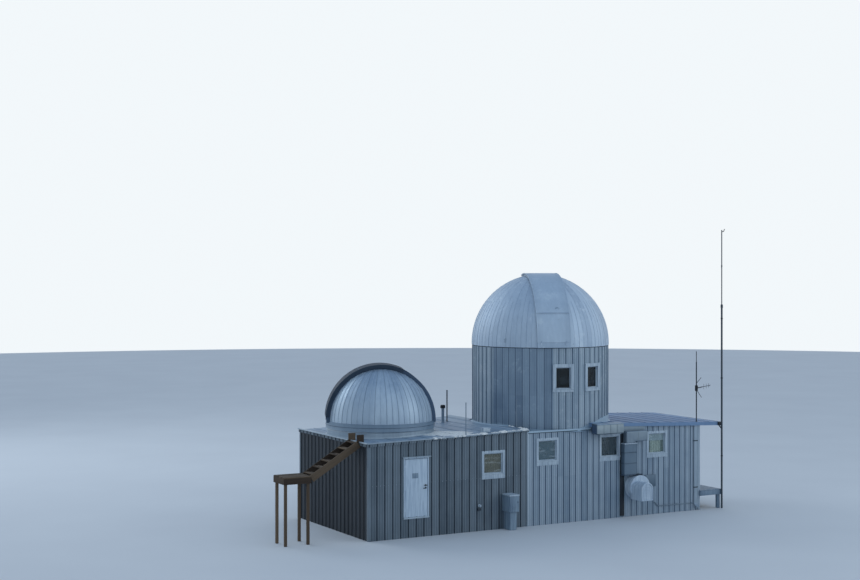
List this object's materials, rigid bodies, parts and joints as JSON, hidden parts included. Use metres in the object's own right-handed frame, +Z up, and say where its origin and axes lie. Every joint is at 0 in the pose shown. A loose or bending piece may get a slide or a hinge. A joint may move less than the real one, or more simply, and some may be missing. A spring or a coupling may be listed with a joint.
{
  "type": "observatory building with two domes",
  "caption": "Metal-clad observatory: a low hollow wing with a small slit dome, a round tower under a large slit dome with shutters, an east wing, stair, duct, porch and mast.",
  "frame": {"origin": "on the round tower's axis, on the underside of the floor slab, at the lowest ground", "axes": "+X along the front to the east end, +Y into the building, +Z up"},
  "size_m": [18.2516, 6.6503, 10.7958],
  "materials": {
    "west_cladding": "ribbed grey steel sheet, weathered",
    "east_cladding": "ribbed blue-grey steel sheet, weathered",
    "dome_metal": "mill-finish aluminium gores, stained",
    "shutter_metal": "mill-finish aluminium sheet, stained",
    "rail_metal": "dark weathered aluminium",
    "roof_sheet": "white coated roof sheet",
    "white_paint": "white paint, satin",
    "pale_steel": "grey galvanised steel",
    "dark_steel": "dark painted steel",
    "timber": "weathered boards",
    "floor": "plain cast slab",
    "window_glass": "clear window glass"
  },
  "bodies": {
    "building": {"west_front_wall_left": "west_cladding", "west_front_wall_right": "west_cladding", "west_door_lintel": "west_cladding", "west_door_threshold": "west_cladding", "west_end_wall": "west_cladding", "west_back_wall": "west_cladding", "west_return_wall": "west_cladding", "east_front_wall": "east_cladding", "east_end_wall": "east_cladding", "east_back_wall": "east_cladding", "tower_lower_wall": "east_cladding", "tower_upper_wall_front": "east_cladding", "tower_upper_wall_right": "east_cladding", "tower_upper_wall_left": "east_cladding", "ground_floor": "floor", "tower_floor": "floor", "west_roof": "roof_sheet", "middle_roof": "roof_sheet", "east_roof": "roof_sheet", "window_frame_west": "white_paint", "window_frame_middle": "white_paint", "window_frame_centre": "white_paint", "window_frame_east": "white_paint", "tower_window_frame_left": "white_paint", "tower_window_frame_right": "white_paint", "west_door_frame": "white_paint", "east_door": "white_paint", "porch_platform": "white_paint", "roof_box": "white_paint", "blower": "white_paint", "front_window_glass": "window_glass", "tower_window_glass": "window_glass", "main_dome_track": "pale_steel", "small_dome_curb": "pale_steel", "weather_mast": "pale_steel", "roof_pole": "pale_steel", "eave_pole": "pale_steel", "roof_rod": "pale_steel", "eave_hood": "pale_steel", "duct_riser": "pale_steel", "duct_elbow": "pale_steel", "equipment_cabinet": "pale_steel", "aerial_mast": "dark_steel", "roof_vent": "dark_steel", "timber_stair": "timber", "timber_landing": "timber"},
    "west_door": {"west_door": "white_paint"},
    "main_dome": {"main_dome_frame": "rail_metal", "main_dome_shell": "dome_metal", "main_dome_rail_left": "rail_metal", "main_dome_rail_right": "rail_metal"},
    "main_upper_shutter": {"main_upper_shutter": "shutter_metal", "main_upper_shutter_lip_left": "shutter_metal", "main_upper_shutter_lip_right": "shutter_metal"},
    "main_lower_shutter": {"main_lower_shutter": "shutter_metal"},
    "small_dome": {"small_dome_frame": "rail_metal", "small_dome_shell": "dome_metal"},
    "small_shutter": {"small_shutter": "rail_metal"}
  },
  "joints": [
    {"name": "west_door_hinge", "type": "hinge", "parent": "building", "child": "west_door", "pos_m": [-7.206, -2.584, 0.7], "axis": [0, 0, -1], "range_deg": [0, 100]},
    {"name": "main_dome_turn", "type": "hinge", "parent": "building", "child": "main_dome", "pos_m": [0, 0, 6.44], "axis": [0, 0, 1], "continuous": true},
    {"name": "main_upper_shutter_travel", "type": "hinge", "parent": "main_dome", "child": "main_upper_shutter", "pos_m": [0, 0, 6.44], "axis": [-0.9278, 0.373, 0], "range_deg": [0, 70]},
    {"name": "main_lower_shutter_hinge", "type": "hinge", "parent": "main_dome", "child": "main_lower_shutter", "pos_m": [-0.99327, -2.47083, 6.57], "axis": [0.9278, -0.373, 0], "range_deg": [0, 85]},
    {"name": "small_dome_turn", "type": "hinge", "parent": "building", "child": "small_dome", "pos_m": [-6.675, 0.31, 3.82], "axis": [0, 0, 1], "continuous": true},
    {"name": "small_shutter_travel", "type": "hinge", "parent": "small_dome", "child": "small_shutter", "pos_m": [-6.675, 0.31, 3.82], "axis": [0.4003, 0.9164, 0], "range_deg": [0, 62]}
  ]
}
